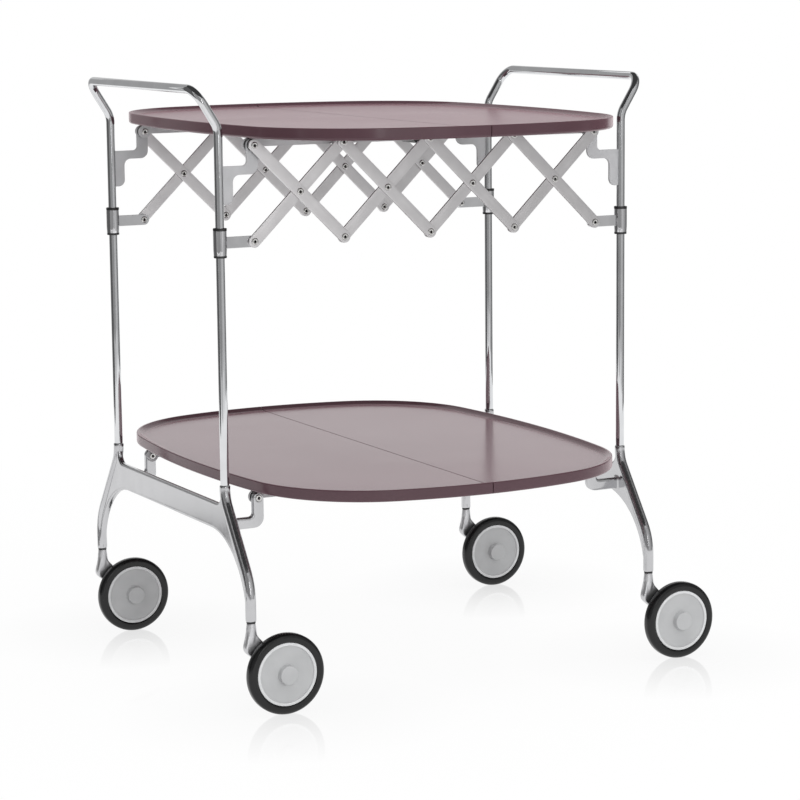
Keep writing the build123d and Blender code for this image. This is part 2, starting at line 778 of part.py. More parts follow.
os.makedirs("parts", exist_ok=True)
for name, pieces in nodes.items():
    solids = [solid for piece in pieces for solid in piece.solids()]
    placed = [Pos(-origin_shift, 0, 0) * solid for solid in solids]
    shape = placed[0] if len(placed) == 1 else Compound(children=placed)
    export_step(shape, os.path.join("parts", name + ".step"))
    print(name, len(placed), "solids")
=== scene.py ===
import json
import math

import bmesh
import bpy
from mathutils import Matrix, Vector


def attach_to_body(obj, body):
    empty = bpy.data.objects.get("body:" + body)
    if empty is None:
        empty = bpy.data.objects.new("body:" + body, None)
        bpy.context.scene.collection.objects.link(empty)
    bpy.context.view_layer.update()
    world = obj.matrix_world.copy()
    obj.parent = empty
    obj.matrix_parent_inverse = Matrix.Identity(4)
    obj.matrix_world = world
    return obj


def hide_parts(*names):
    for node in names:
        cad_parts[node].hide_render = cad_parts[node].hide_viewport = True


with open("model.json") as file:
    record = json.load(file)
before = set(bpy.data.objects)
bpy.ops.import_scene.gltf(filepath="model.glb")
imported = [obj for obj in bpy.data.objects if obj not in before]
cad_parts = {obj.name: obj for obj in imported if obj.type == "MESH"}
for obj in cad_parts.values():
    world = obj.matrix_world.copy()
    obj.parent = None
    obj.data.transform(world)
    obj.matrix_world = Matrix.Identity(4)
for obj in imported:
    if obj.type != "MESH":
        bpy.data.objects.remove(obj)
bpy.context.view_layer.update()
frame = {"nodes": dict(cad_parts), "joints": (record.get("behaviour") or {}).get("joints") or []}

mm = 0.001
nodes = frame["nodes"]
jointAt = {joint["name"]: Vector(joint["pos_m"]) for joint in frame["joints"]}
seamX = jointAt["upper_seam_hinge"].x  # pieces are drawn about the seam, then moved by this
upperZ = jointAt["fold"].z
lowerZ = jointAt["lower_left_pivot"].z
sliderZ = jointAt["left_slider_pivot"].z
pivotX = jointAt["right_frame_pivot"].x - seamX
postX = jointAt["front_right_swivel"].x - seamX
sides = {"left": -1, "right": 1}
rows = {"front": -1, "rear": 1}
weld = 0.001 * mm  # points closer than this are one
scene = bpy.context.scene


# Materials

def toLinear(hexColour):
    # hex colour on screen to the linear values that sockets take
    channels = [int(hexColour[i:i + 2], 16) / 255 for i in (1, 3, 5)]
    return (*[c / 12.92 if c <= 0.04045 else ((c + 0.055) / 1.055) ** 2.4 for c in channels], 1.0)


def addNode(tree, kind, values=None, links=None, **settings):
    node = tree.nodes.new(kind)
    for name, value in settings.items():
        setattr(node, name, value)
    for socket, value in (values or {}).items():
        node.inputs[socket].default_value = value
    for socket, source in (links or {}).items():
        tree.links.new(source, node.inputs[socket])
    return node


def newFinish(name, values):
    material = bpy.data.materials.new(name)
    material.use_nodes = True
    tree = material.node_tree
    shader = tree.nodes["Principled BSDF"]
    for socket, value in values.items():
        shader.inputs[socket].default_value = value
    return material, tree, shader


def grain(tree, source, size, detail=2.0, stretch=(1, 1, 1)):
    # soft noise whose spots are about size metres across, drawn out along the axes with a small stretch
    mapped = addNode(tree, "ShaderNodeMapping", {"Scale": stretch}, {"Vector": source})
    return addNode(tree, "ShaderNodeTexNoise", {"Scale": 1 / size, "Detail": detail},
                   {"Vector": mapped.outputs[0]})


noiseMiddle = (0.3, 0.7)  # noise sits around a half, so this stretch of it is opened to the wanted range


def spread(tree, source, low, high):
    start, end = noiseMiddle
    return addNode(tree, "ShaderNodeMapRange", {
        "From Min": start, "From Max": end, "To Min": low, "To Max": high}, {"Value": source}).outputs[0]


def tint(tree, source, darkHex, lightHex):
    mix = addNode(tree, "ShaderNodeMix", {"A": toLinear(darkHex), "B": toLinear(lightHex)},
                  {"Factor": spread(tree, source, 0, 1)}, data_type="RGBA")
    return mix.outputs["Result"]


def bump(tree, source, height):
    raised = addNode(tree, "ShaderNodeBump", {"Strength": 1.0, "Distance": height}, {"Height": source})
    return raised.outputs[0]


def chromedTube(look):
    # bright chrome plate on drawn tube: a mirror with the faintest waviness and hand marks
    material, tree, shader = newFinish("chromePlatedTube", {"Metallic": 1.0})
    place = addNode(tree, "ShaderNodeTexCoord").outputs["Object"]
    marks = grain(tree, place, look["markSize"])
    tree.links.new(tint(tree, marks.outputs[0], look["dark"], look["light"]), shader.inputs["Base Color"])
    tree.links.new(spread(tree, marks.outputs[0], *look["roughness"]), shader.inputs["Roughness"])
    waves = grain(tree, place, look["waveSize"], detail=1.0)
    tree.links.new(bump(tree, waves.outputs[0], look["waveHeight"]), shader.inputs["Normal"])
    return material


def castAluminium(look):
    # die casting, ground and polished: satin flats, brighter rounds and a fine peel left by the mould
    material, tree, shader = newFinish(look["name"], {"Metallic": 1.0})
    place = addNode(tree, "ShaderNodeTexCoord").outputs["Object"]
    clouds = grain(tree, place, look["cloudSize"], detail=3.0)
    tree.links.new(tint(tree, clouds.outputs[0], look["dark"], look["light"]), shader.inputs["Base Color"])
    rough = spread(tree, clouds.outputs[0], *look["roughness"])
    if "buffed" in look:
        # low parts are buffed brighter: share of roughness left there, and heights between which it changes
        share, low, high = look["buffed"]
        height = addNode(tree, "ShaderNodeSeparateXYZ", links={"Vector": place}).outputs["Z"]
        left = addNode(tree, "ShaderNodeMapRange", {"From Min": low, "From Max": high, "To Min": share},
                       {"Value": height})
        rough = addNode(tree, "ShaderNodeMath", links={0: rough, 1: left.outputs[0]},
                        operation="MULTIPLY").outputs[0]
    tree.links.new(rough, shader.inputs["Roughness"])
    peel = grain(tree, place, look["peelSize"])
    tree.links.new(bump(tree, peel.outputs[0], look["peelHeight"]), shader.inputs["Normal"])
    return material


def satinStrip(look):
    # zinc plated steel strip: brushed along its length, so the noise runs along each bar's own UV map
    material, tree, shader = newFinish("satinPlatedStrip", {"Metallic": 1.0})
    place = addNode(tree, "ShaderNodeUVMap", uv_map="along").outputs[0]
    brushed = grain(tree, place, look["lineWidth"], stretch=(look["lineStretch"], 1, 1))
    clouds = grain(tree, place, look["cloudSize"])
    tree.links.new(tint(tree, clouds.outputs[0], look["dark"], look["light"]), shader.inputs["Base Color"])
    tree.links.new(spread(tree, brushed.outputs[0], *look["roughness"]), shader.inputs["Roughness"])
    tree.links.new(bump(tree, brushed.outputs[0], look["lineHeight"]), shader.inputs["Normal"])
    return material


def mouldedPlastic(look):
    # moulded or sprayed skin: a fine even grain gives a satin sheen, with slow clouds in its gloss
    material, tree, shader = newFinish(look["name"], {
        "IOR": look["ior"], "Specular IOR Level": look.get("specular", 0.5), **look.get("sheen", {})})
    place = addNode(tree, "ShaderNodeTexCoord").outputs["Object"]
    clouds = grain(tree, place, look["cloudSize"], detail=3.0)
    tree.links.new(tint(tree, clouds.outputs[0], look["dark"], look["light"]), shader.inputs["Base Color"])
    tree.links.new(spread(tree, clouds.outputs[0], *look["roughness"]), shader.inputs["Roughness"])
    skin = grain(tree, place, look["grainSize"])
    tree.links.new(bump(tree, skin.outputs[0], look["grainHeight"]), shader.inputs["Normal"])
    return material


finishes = {
    "chrome": chromedTube(dict(
        dark="#D8D9DB", light="#E2E3E5", markSize=24 * mm, roughness=(0.02, 0.05), waveSize=30 * mm,
        waveHeight=0.01 * mm)),
    "casting": castAluminium(dict(
        name="polishedCastAluminium", dark="#C1C1C3", light="#CBCBCD", cloudSize=30 * mm,
        roughness=(0.14, 0.2), buffed=(0.6, 125 * mm, 190 * mm), peelSize=1.6 * mm, peelHeight=0.006 * mm)),
    "castorArm": castAluminium(dict(
        name="satinCastAluminium", dark="#C6C6C8", light="#D0D0D2", cloudSize=30 * mm,
        roughness=(0.3, 0.38), peelSize=1.6 * mm, peelHeight=0.006 * mm)),
    "collar": castAluminium(dict(
        name="platedCastCollar", dark="#DADADC", light="#E6E6E8", cloudSize=16 * mm,
        roughness=(0.02, 0.05), peelSize=2.5 * mm, peelHeight=0.008 * mm)),
    "bracket": mouldedPlastic(dict(
        name="greyPowderPaint", dark="#A8A8AA", light="#B0B0B2", ior=1.5, cloudSize=18 * mm,
        roughness=(0.42, 0.52), grainSize=0.9 * mm, grainHeight=0.02 * mm)),
    "strip": satinStrip(dict(  # real brushed lines are about 0.1 mm, too fine to show, so these are wider
        dark="#D2D0D1", light="#DBD9DA", cloudSize=22 * mm, roughness=(0.28, 0.38),
        lineWidth=0.8 * mm, lineStretch=0.02, lineHeight=0.006 * mm)),
    "rail": mouldedPlastic(dict(
        name="greyPaintedRail", dark="#B8B7B9", light="#C2C1C3", ior=1.5, cloudSize=25 * mm,
        roughness=(0.4, 0.5), grainSize=0.9 * mm, grainHeight=0.02 * mm)),
    "rivet": castAluminium(dict(
        name="nickelPlatedRivet", dark="#C9C8C6", light="#D8D7D5", cloudSize=3 * mm,
        roughness=(0.08, 0.16), peelSize=1 * mm, peelHeight=0.004 * mm)),
    # painted shade: the bore of each nickel rivet is coloured near black to stand for the shade inside the
    # hole
    "bore": mouldedPlastic(dict(
        name="darkRivetBore", dark="#131313", light="#1E1E1E", ior=1.5, cloudSize=2 * mm,
        roughness=(0.55, 0.7), grainSize=0.5 * mm, grainHeight=0.01 * mm)),
    "tray": mouldedPlastic(dict(
        name="plumSatinTray", dark="#493239", light="#4E373E", ior=1.5, specular=0.42, cloudSize=140 * mm,
        roughness=(0.18, 0.21), grainSize=0.9 * mm, grainHeight=0.006 * mm,
        sheen={"Sheen Weight": 0.36, "Sheen Roughness": 0.45, "Sheen Tint": toLinear("#CB95A1")})),
    "nylon": mouldedPlastic(dict(
        name="blackNylon", dark="#141415", light="#1D1D1E", ior=1.53, cloudSize=9 * mm,
        roughness=(0.36, 0.48), grainSize=0.6 * mm, grainHeight=0.012 * mm)),
    "rubber": mouldedPlastic(dict(
        name="blackTyreRubber", dark="#0C0C0D", light="#121213", ior=1.5, specular=0.42, cloudSize=14 * mm,
        roughness=(0.17, 0.25), grainSize=0.8 * mm, grainHeight=0.008 * mm)),
    "disc": mouldedPlastic(dict(
        name="greyMouldedDisc", dark="#AEAFB0", light="#B6B7B8", ior=1.5, cloudSize=26 * mm,
        roughness=(0.34, 0.44), grainSize=0.7 * mm, grainHeight=0.01 * mm)),
    # painted highlight: the disc's raised rim is coloured a lighter grey than the disc, to stand for the
    # light it catches
    "discRimPaintedHighlight": mouldedPlastic(dict(
        name="greyBurnishedRim", dark="#CCCDCE", light="#D4D5D6", ior=1.5, cloudSize=12 * mm,
        roughness=(0.24, 0.32), grainSize=0.7 * mm, grainHeight=0.006 * mm)),
}
print("finishes", len(finishes))


# Mesh helpers

def newObject(name, mesh):
    piece = bpy.data.objects.new(name, mesh)
    scene.collection.objects.link(piece)
    return piece


def fromBmesh(name, bm, finishNames, sharpAngle=32):
    bmesh.ops.translate(bm, verts=bm.verts, vec=(seamX, 0, 0))
    mesh = bpy.data.meshes.new(name)
    bm.to_mesh(mesh)
    bm.free()
    for finishName in finishNames:
        mesh.materials.append(finishes[finishName])
    mesh.shade_smooth()
    mesh.set_sharp_from_angle(angle=math.radians(sharpAngle))
    return newObject(name, mesh)


def flatten(piece):
    # keeps wide flats flat beside their small rounded edges
    modifier = piece.modifiers.new("flatFaces", "WEIGHTED_NORMAL")
    modifier.keep_sharp = True
    return piece


def bake(piece):
    # turns live modifiers into a plain mesh
    graph = bpy.context.evaluated_depsgraph_get()
    mesh = bpy.data.meshes.new_from_object(piece.evaluated_get(graph), depsgraph=graph)
    piece.modifiers.clear()
    piece.data = mesh
    return piece


def attach(piece, body, slot, *replaced):
    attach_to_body(piece, body)
    if replaced:
        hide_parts(*replaced)
    return piece


def arcPoints(centre, radius, start, end, steps):
    turns = [start + (end - start) * i / steps for i in range(steps + 1)]
    return [(centre[0] + radius * math.cos(a), centre[1] + radius * math.sin(a)) for a in turns]


def roundedOutline(corners, steps=8):
    # corners are (u, w, radius) in order; each round one becomes an arc tangent to both sides
    points = []
    for i, (u, w, radius) in enumerate(corners):
        here = Vector((u, w))
        if not radius:
            points.append(tuple(here))
            continue
        before = (Vector(corners[i - 1][:2]) - here).normalized()
        after = (Vector(corners[(i + 1) % len(corners)][:2]) - here).normalized()
        half = before.angle(after) / 2
        centre = here + (before + after).normalized() * radius / math.sin(half)
        start = here + before * radius / math.tan(half) - centre
        end = here + after * radius / math.tan(half) - centre
        turn = start.angle_signed(end)
        for step in range(steps + 1):
            spin = Matrix.Rotation(-turn * step / steps, 2)
            points.append(tuple(centre + spin @ start))
    return points


def ringOf(centre, radius, count=24):
    return arcPoints(centre, radius, 0, 2 * math.pi, count)[:-1]


rimAngle = math.radians(60)  # faces that meet more sharply than this have a plate's rim between them
slant = Vector((0.31, 0.53, 0.79))  # a plate's corners and faces are put in order along this


def addPlate(bm, outline, holes, near, far, row, edge):
    # flat plate in X and Z with real holes, near and far from the middle plane, and rounded edges
    loops, edges = [], []
    for points in [outline, *holes]:
        verts = [bm.verts.new((u, row * near, w)) for u, w in points]
        loops.append(verts)
        edges += [bm.edges.new((verts[i - 1], verts[i])) for i in range(len(verts))]
    filled = bmesh.ops.triangle_fill(bm, use_beauty=True, use_dissolve=False, edges=edges)
    faces = [item for item in filled["geom"] if isinstance(item, bmesh.types.BMFace)]
    grown = bmesh.ops.extrude_face_region(bm, geom=faces)["geom"]
    moved = [item for item in grown if isinstance(item, bmesh.types.BMVert)]
    bmesh.ops.translate(bm, verts=moved, vec=(0, row * (far - near), 0))
    plate = set(faces) | {face for vert in moved for face in vert.link_faces}
    plate |= {face for vert in loops[0] for face in vert.link_faces}
    bmesh.ops.recalc_face_normals(bm, faces=list(plate))
    rim = [side for side in {side for face in plate for side in face.edges}
           if len(side.link_faces) == 2 and side.calc_face_angle(0) > rimAngle]
    bmesh.ops.bevel(bm, geom=rim, offset=edge, segments=2, profile=0.5, affect="EDGES")
    # a bevel's corners and faces come in another order each run, so they are sorted
    bm.verts.sort(key=lambda vert: vert.co.dot(slant))
    bm.faces.sort(key=lambda face: face.calc_center_median().dot(slant))


def addLathe(bm, profile, place, steps=64, materials=None):
    # turns (radius, height) points about local Z; place puts the axis in the frame
    rings = []
    for radius, height in profile:
        if radius == 0:
            rings.append([bm.verts.new(place @ Vector((0, 0, height)))])
        else:
            circle = ringOf((0, 0), radius, steps)
            rings.append([bm.verts.new(place @ Vector((x, y, height))) for x, y in circle])
    made = []
    for index in range(len(rings) - 1):
        low, high = rings[index], rings[index + 1]
        for i in range(steps):
            j = (i + 1) % steps
            corner = [low[i], low[j], high[j], high[i]] if len(low) > 1 and len(high) > 1 else (
                [low[0], high[j], high[i]] if len(low) == 1 else [low[i], low[j], high[0]])
            face = bm.faces.new(corner)
            face.material_index = materials[index] if materials else 0
            made.append(face)
    bmesh.ops.recalc_face_normals(bm, faces=made)
    return made


def axisY(x, y, z, towards=1):
    # place of a lathe whose axis points along +Y, or along -Y
    return Matrix.Translation((x, y, z)) @ Matrix.Rotation(-towards * math.pi / 2, 4, "X")


def softCorner(radius, centre, start, end, steps=5):
    return arcPoints(centre, radius, math.radians(start), math.radians(end), steps)


# Trays

trayShape = dict(
    halfX=239 * mm, halfY=315 * mm, endRadius=1320 * mm, frontRadius=485 * mm, cornerRadius=151 * mm,
    rimAbovePivot=21.5 * mm, edgeHeight=13.5 * mm, lipDepth=4.3 * mm, land=2.6 * mm, lipRun=10 * mm,
    floorThickness=4 * mm, skirt=6 * mm, topRound=1.2 * mm, lowRound=3 * mm, seamGap=1.2 * mm,
    endSteps=14, cornerSteps=22, frontSteps=14, lowSteps=6, topSteps=4, lipSteps=8)


def trayBoundary(shape):
    # arcs of one half from seam to seam, as (centre, radius, way out) at each point
    endCentre = Vector((shape["halfX"] - shape["endRadius"], 0))
    frontCentre = Vector((0, shape["halfY"] - shape["frontRadius"]))
    endReach = shape["endRadius"] - shape["cornerRadius"]
    frontReach = shape["frontRadius"] - shape["cornerRadius"]
    between = frontCentre - endCentre
    along = (endReach ** 2 - frontReach ** 2 + between.length ** 2) / (2 * between.length)
    across = math.sqrt(endReach ** 2 - along ** 2)
    step = between.normalized()
    corner = endCentre + step * along + Vector((-step.y, step.x)) * across
    endTurn = math.atan2(*(corner - endCentre).yx)
    frontTurn = math.atan2(*(corner - frontCentre).yx)
    endSteps, cornerSteps, frontSteps = shape["endSteps"], shape["cornerSteps"], shape["frontSteps"]
    upper = [(endCentre, shape["endRadius"], endTurn * i / endSteps) for i in range(endSteps)]
    upper += [(corner, shape["cornerRadius"], endTurn + (frontTurn - endTurn) * i / cornerSteps)
              for i in range(cornerSteps)]
    upper += [(frontCentre, shape["frontRadius"], frontTurn + (math.pi / 2 - frontTurn) * i / frontSteps)
              for i in range(frontSteps + 1)]
    points = [(centre, radius, Vector((math.cos(a), math.sin(a)))) for centre, radius, a in upper]
    mirrored = [(Vector((c.x, -c.y)), r, Vector((w.x, -w.y))) for c, r, w in points[:0:-1]]
    return mirrored + points


def trayProfile(shape):
    # (inset, height from the rim) from under the floor round the edge and down the hollow lip to the floor
    low, floor = -shape["edgeHeight"], -shape["lipDepth"]
    lowRound, topRound = shape["lowRound"], shape["topRound"]
    profile = [(shape["skirt"], floor - shape["floorThickness"]), (shape["skirt"], low)]
    profile += softCorner(lowRound, (lowRound, low + lowRound), 270, 180, shape["lowSteps"])
    profile += softCorner(topRound, (topRound, -topRound), 180, 90, shape["topSteps"])
    for i in range(shape["lipSteps"] + 1):
        u = i / shape["lipSteps"]
        profile.append((shape["land"] + shape["lipRun"] * u, floor * (1 - (1 - u) ** 2)))
    return profile


def makeTray(level, side, pivotZ):
    shape = trayShape
    bm = bmesh.new()
    boundary, profile = trayBoundary(shape), trayProfile(shape)
    rings = []
    for inset, height in profile:
        ring = []
        for i, (centre, radius, way) in enumerate(boundary):
            spot = centre + way * (radius - inset)
            x = shape["seamGap"] / 2 if i in (0, len(boundary) - 1) else spot.x
            ring.append(bm.verts.new((side * x, spot.y, pivotZ + shape["rimAbovePivot"] + height)))
        rings.append(ring)
    for low, high in zip(rings, rings[1:]):
        for i in range(len(boundary) - 1):
            bm.faces.new((low[i], low[i + 1], high[i + 1], high[i]))
    bm.faces.new(rings[0])
    bm.faces.new(rings[-1])
    bm.faces.new([ring[0] for ring in rings] + [ring[-1] for ring in reversed(rings)])
    bmesh.ops.recalc_face_normals(bm, faces=bm.faces)
    name = level + "_" + ("left" if side < 0 else "right")
    piece = flatten(fromBmesh(name + "_moulded_tray", bm, ["tray"]))
    return attach(piece, name + "_leaf", "plum_tray", name + "_tray")


for level, pivotZ in (("upper", upperZ), ("lower", lowerZ)):
    for side in sides.values():
        makeTray(level, side, pivotZ)
print("trays")


# Posts and handles, one bent tube on each side

tubeShape = dict(
    postY=162.5 * mm, radius=5 * mm, lean=27 * mm, bendAbovePivot=20 * mm, rise=43 * mm, footZ=245.5 * mm,
    bend=28 * mm, corner=20 * mm, bendSteps=14, sides=40, sharpAngle=50)


def newTree(name, inputs):
    # a tree of Geometry Nodes with its sockets, and what it is given through them
    tree = bpy.data.node_groups.new(name, "GeometryNodeTree")
    sockets = tree.interface
    sockets.new_socket("Geometry", in_out="INPUT", socket_type="NodeSocketGeometry")
    for socket, kind in inputs.items():
        sockets.new_socket(socket, in_out="INPUT", socket_type="NodeSocket" + kind)
    sockets.new_socket("Geometry", in_out="OUTPUT", socket_type="NodeSocketGeometry")
    return tree, addNode(tree, "NodeGroupInput").outputs


def bentTubeTree():
    tree, given = newTree("bentTube", {
        "Tube Radius": "Float", "Bend Steps": "Int", "Sides": "Int", "Plate": "Material"})
    line = addNode(tree, "GeometryNodeMeshToCurve", links={"Mesh": given["Geometry"]})
    bend = addNode(tree, "GeometryNodeInputNamedAttribute", {"Name": "bendRadius"}, data_type="FLOAT")
    path = addNode(tree, "GeometryNodeFilletCurve", links={
        "Curve": line.outputs[0], "Radius": bend.outputs["Attribute"], "Count": given["Bend Steps"]},
        mode="POLY")
    section = addNode(tree, "GeometryNodeCurvePrimitiveCircle", links={
        "Radius": given["Tube Radius"], "Resolution": given["Sides"]})
    tube = addNode(tree, "GeometryNodeCurveToMesh", {"Fill Caps": True}, {
        "Curve": path.outputs[0], "Profile Curve": section.outputs[0]})
    whole = addNode(tree, "GeometryNodeRealizeInstances", links={"Geometry": tube.outputs[0]})
    plated = addNode(tree, "GeometryNodeSetMaterial", links={
        "Geometry": whole.outputs[0], "Material": given["Plate"]})
    addNode(tree, "NodeGroupOutput", links={"Geometry": plated.outputs[0]})
    return tree


def runTree(piece, tree, inputs):
    modifier = piece.modifiers.new(tree.name, "NODES")
    modifier.node_group = tree
    sockets = {item.name: item.identifier for item in tree.interface.items_tree if item.in_out == "INPUT"}
    for name, value in inputs.items():
        modifier[sockets[name]] = value
    return bake(piece)


def makeTube(tree, sideName, side):
    shape = tubeShape
    bendZ = upperZ + shape["bendAbovePivot"]
    handleX, handleZ = side * (postX + shape["lean"]), bendZ + shape["rise"]
    uprightX, postY = side * postX, shape["postY"]
    half = [(uprightX, postY, shape["footZ"], 0), (uprightX, postY, bendZ, shape["bend"]),
            (handleX, postY, handleZ, shape["corner"])]
    route = [(x, -y, z, r) for x, y, z, r in half] + half[::-1]
    mesh = bpy.data.meshes.new(sideName + "_chromed_tube")
    spots = [(x + seamX, y, z) for x, y, z, r in route]
    mesh.from_pydata(spots, [(i, i + 1) for i in range(len(route) - 1)], [])
    bends = mesh.attributes.new("bendRadius", "FLOAT", "POINT")
    for i, (x, y, z, r) in enumerate(route):
        bends.data[i].value = r
    piece = newObject(sideName + "_chromed_tube", mesh)
    runTree(piece, tree, {"Tube Radius": shape["radius"], "Bend Steps": shape["bendSteps"],
                          "Sides": shape["sides"], "Plate": finishes["chrome"]})
    piece.data.shade_smooth()
    piece.data.set_sharp_from_angle(angle=math.radians(shape["sharpAngle"]))
    return attach(piece, sideName + "_frame", "chromed_tube", sideName + "_handle_tube")


tubeTree = bentTubeTree()
for sideName, side in sides.items():
    makeTube(tubeTree, sideName, side)
print("tubes")


# Castings: a merged copy of the solid, rebuilt in fine cells and relaxed, so that its parts blend together

castShape = dict(
    weld=0.005 * mm, legCell=0.95 * mm, legPasses=15, castorCell=0.6 * mm, castorPasses=20, relaxing=0.5,
    crisp=8 * mm, crispShare=0.25, neckLow=58 * mm, neckHigh=105 * mm, neckSwell=0.42)


def swellNeck(mesh, middleY):
    # a castor arm is as thick as its stem down to the wheel, and thins out again at the axle
    low, high = castShape["neckLow"], castShape["neckHigh"]
    for vert in mesh.vertices:
        lift = (vert.co.z - low) / (high - low)
        if 0 < lift < 1:
            vert.co.y += (vert.co.y - middleY) * castShape["neckSwell"] * math.sin(math.pi * lift)


def castCopy(name, node, cell, passes, finish, neckY=None):
    mesh = nodes[node].data.copy()
    mesh.materials.clear()
    bm = bmesh.new()
    bm.from_mesh(mesh)
    bmesh.ops.remove_doubles(bm, verts=bm.verts, dist=castShape["weld"])
    bm.to_mesh(mesh)
    bm.free()
    piece = newObject(name, mesh)
    cells = piece.modifiers.new("cells", "REMESH")
    cells.mode = "VOXEL"
    cells.voxel_size = cell
    bake(piece)
    if neckY is not None:
        swellNeck(piece.data, neckY)
    top = max(vert.co.z for vert in piece.data.vertices)
    amount = piece.vertex_groups.new(name="relaxed")
    for vert in piece.data.vertices:
        nearTop = vert.co.z > top - castShape["crisp"]
        amount.add([vert.index], castShape["crispShare"] if nearTop else 1.0, "REPLACE")
    relax = piece.modifiers.new("relax", "SMOOTH")
    relax.factor, relax.iterations, relax.vertex_group = castShape["relaxing"], passes, amount.name
    bake(piece)
    piece.vertex_groups.clear()
    piece.data.materials.clear()
    piece.data.materials.append(finishes[finish])
    piece.data.shade_smooth()
    return piece


for sideName in sides:
    casting = castCopy(sideName + "_cast_legs", sideName + "_leg_frame", castShape["legCell"],
                       castShape["legPasses"], "casting")
    attach(casting, sideName + "_frame", "cast_frame", sideName + "_leg_frame")
    for rowName in rows:
        corner = rowName + "_" + sideName
        fork = castCopy(corner + "_cast_arm", corner + "_castor_arm", castShape["castorCell"],
                        castShape["castorPasses"], "castorArm", jointAt[corner + "_swivel"].y)
        attach(fork, corner + "_castor", "cast_castors", corner + "_castor_arm")
print("castings")


# Wheels

wheelShape = dict(
    radius=46.5 * mm, halfWidth=7 * mm, treadRound=5 * mm, wallStep=0.7 * mm, discRadius=36.2 * mm,
    discFace=5 * mm, rimWidth=3.3 * mm, rimHeight=1.4 * mm, rimRound=0.5 * mm, hubRadius=11 * mm,
    hubHeight=8 * mm, hubRound=1.2 * mm, backHubRadius=9 * mm, backReach=9.3 * mm, axleRadius=4.06 * mm,
    axleDepth=4.7 * mm, treadEnd=8, rimSlope=60, treadSteps=8, roundSteps=3, turnSteps=96, sharpAngle=40,
    wallSlopes=((0, 2), (1, 1), (2, 0.3), (4, 0)))  # out from the disc and in from the side, in wall steps


def tyreProfile(shape):
    inner, outer, wide = shape["discRadius"], shape["radius"], shape["halfWidth"]
    curve, lip = shape["treadRound"], shape["wallStep"]
    front = [(inner + out * lip, wide - down * lip) for out, down in shape["wallSlopes"]]
    front += softCorner(curve, (outer - curve, wide - curve), 90, shape["treadEnd"], shape["treadSteps"])
    return front + [(outer, 0)] + [(r, -h) for r, h in reversed(front)]


def discProfile(shape):
    face, edge = shape["discFace"], shape["discRadius"]
    rimTop, rimIn = face + shape["rimHeight"], edge - shape["rimWidth"]
    soft = shape["rimRound"]
    hubTop, hub, curve = face + shape["hubHeight"], shape["hubRadius"], shape["hubRound"]
    dish = [(0, hubTop)] + softCorner(curve, (hub - curve, hubTop - curve), 90, 0)
    slope, steps = shape["rimSlope"], shape["roundSteps"]
    dish += softCorner(soft, (hub + soft, face + soft), 180, 270, steps)
    dish += softCorner(soft, (rimIn - 2 * soft, face + soft), 270, 270 + slope, steps)
    # the rim's faces take the second finish, the lighter grey of the painted highlight
    rim = softCorner(soft, (rimIn + soft, rimTop - soft), 90 + slope, 90, steps)
    rim += softCorner(soft, (edge - soft, rimTop - soft), 90, 0, steps)
    back = [(edge, -face), (shape["backHubRadius"], -face), (shape["backHubRadius"], -shape["backReach"])]
    back += [(shape["axleRadius"], -shape["backReach"]), (shape["axleRadius"], shape["axleDepth"]),
             (0, shape["axleDepth"])]
    return dish + rim + back, [0] * len(dish) + [1] * (len(rim) - 1) + [0] * len(back)


def makeWheel(corner):
    place = axisY(*jointAt[corner + "_wheel_spin"], towards=-1)
    place = Matrix.Translation((-seamX, 0, 0)) @ place
    tyre, (disc, discFinishes) = tyreProfile(wheelShape), discProfile(wheelShape)
    for word, profile, materials, looks, slot, node in (
            ("rubber_tyre", tyre + tyre[:1], None, ["rubber"], "rubber_tyre", "tyre"),
            ("moulded_disc", disc, discFinishes, ["disc", "discRimPaintedHighlight"], "grey_disc", "wheel_disc")):
        bm = bmesh.new()
        addLathe(bm, profile, place, wheelShape["turnSteps"], materials)
        bmesh.ops.remove_doubles(bm, verts=bm.verts, dist=weld)
        bmesh.ops.recalc_face_normals(bm, faces=bm.faces)
        piece = fromBmesh(corner + "_" + word, bm, looks, wheelShape["sharpAngle"])
        attach(piece, corner + "_wheel", slot, corner + "_" + node)


for sideName in sides:
    for rowName in rows:
        makeWheel(rowName + "_" + sideName)
print("wheels")


# Scissor bars and the plates at the posts

# near and far are distances from the middle plane, and play is what a rivet's head stands off
layer = dict(
    bracketNear=161 * mm, innerNear=164.4 * mm, outerNear=167.8 * mm, thickness=3 * mm, railNear=152.2 * mm,
    armFar=165 * mm, play=0.2 * mm)
barShape = dict(width=14 * mm, edge=0.5 * mm, hole=2.56 * mm, cells=4, endSteps=16)


def columnX(index):
    return -pivotX + 2 * pivotX * index / barShape["cells"]


def barNear(kind, row):
    # falling bars lie outside in the front row, rising bars outside in the rear row
    return layer["outerNear"] if (kind == "a") == (row < 0) else layer["innerNear"]


def uvAlong(bm, start, way):
    # UV in metres along and across a bar, for its brushed lines
    uv = bm.loops.layers.uv.new("along")
    for face in bm.faces:
        for loop in face.loops:
            spot = Vector((loop.vert.co.x, loop.vert.co.z)) - start
            loop[uv].uv = (spot.dot(way), spot.x * -way.y + spot.y * way.x + loop.vert.co.y)


